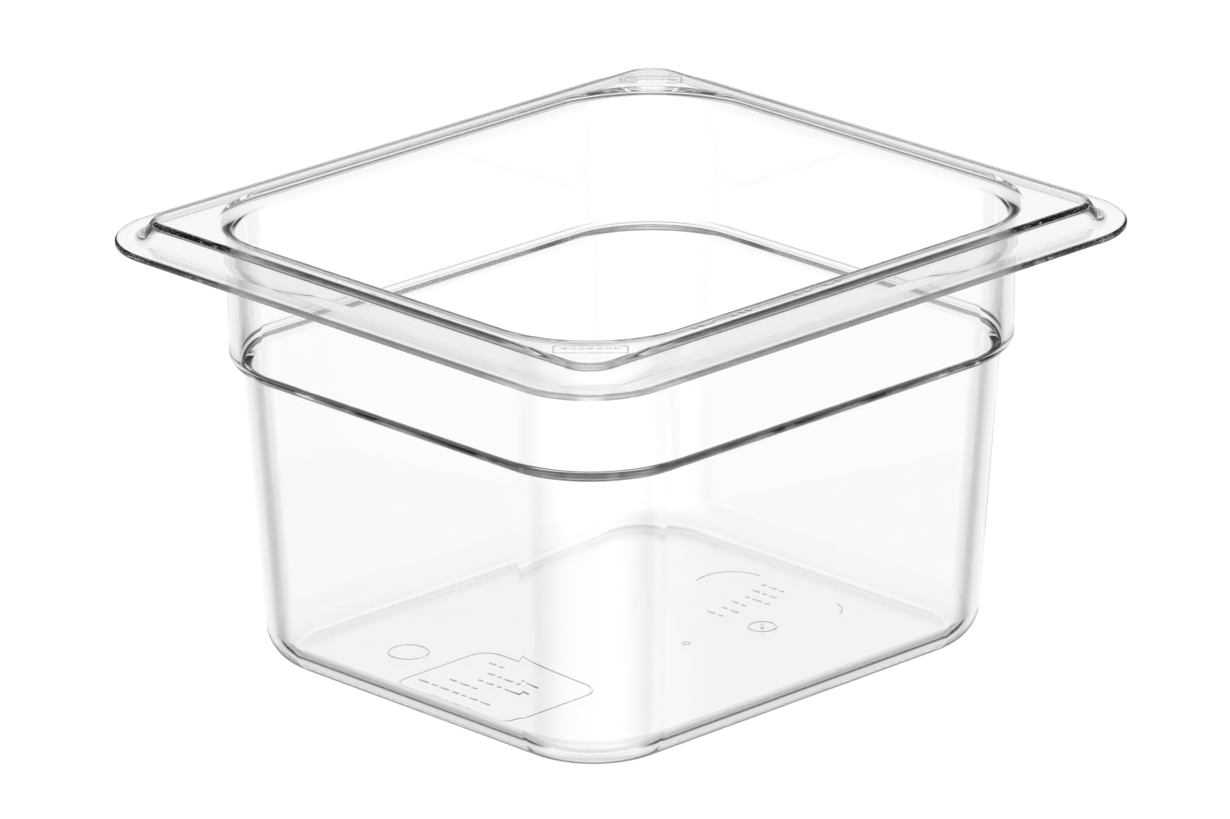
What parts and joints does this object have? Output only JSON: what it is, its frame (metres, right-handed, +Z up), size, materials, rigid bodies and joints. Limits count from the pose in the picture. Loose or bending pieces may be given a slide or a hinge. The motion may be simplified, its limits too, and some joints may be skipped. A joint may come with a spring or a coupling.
{
  "type": "sixth-size food pan",
  "caption": "Clear one-piece food pan with a stepped lid-and-lip rim, a stacking shoulder and tapered lower walls, for a deli or salad counter well.",
  "frame": {"origin": "centre of the flat underside of the base, at the bottom of the pan", "axes": "+Z up out of the mouth, +X along the longer side of the lip, +Y along the shorter side"},
  "size_m": [0.176, 0.159, 0.1016],
  "materials": {
    "clear_polycarbonate": "clear, colourless moulded polycarbonate, polished inside and out, with a very slight moulding ripple"
  },
  "bodies": {
    "root": {"pan_body": "clear_polycarbonate"}
  },
  "joints": []
}
